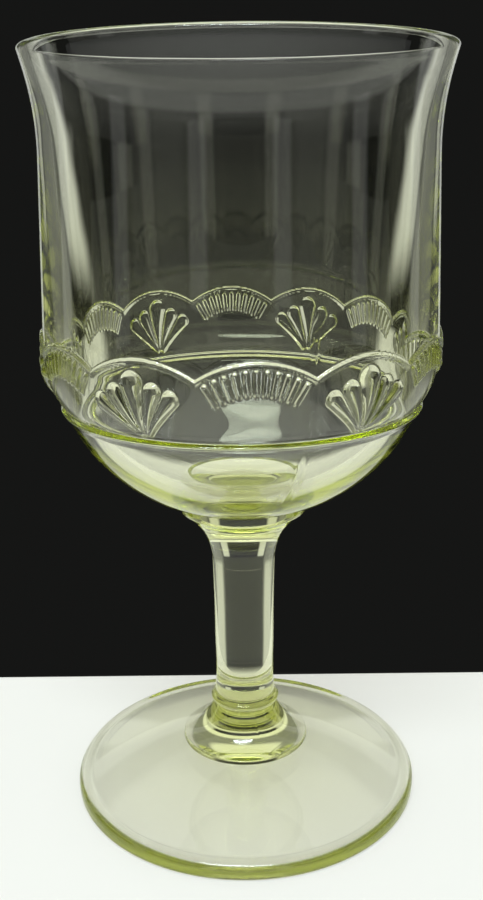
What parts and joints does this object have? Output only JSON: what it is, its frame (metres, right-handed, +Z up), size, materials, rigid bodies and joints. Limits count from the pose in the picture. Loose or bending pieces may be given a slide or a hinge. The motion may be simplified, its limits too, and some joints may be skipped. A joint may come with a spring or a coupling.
{
  "type": "water goblet",
  "caption": "Pressed-glass water goblet: flared bowl with a scalloped band of fans and flutes over a ridge, on a plain stem and a round domed foot.",
  "frame": {"origin": "middle of the ring that the foot stands on", "axes": "+Z up along the goblet's axis, the front panel of the band faces -Y"},
  "size_m": [0.0816, 0.0816, 0.155],
  "materials": {
    "pressed_glass": "clear pressed glass with a faint straw-yellow tint, fire-polished, olive at thick edges"
  },
  "bodies": {
    "root": {"bowl": "pressed_glass", "collar": "pressed_glass", "stem": "pressed_glass", "boss": "pressed_glass", "foot": "pressed_glass"}
  },
  "joints": []
}
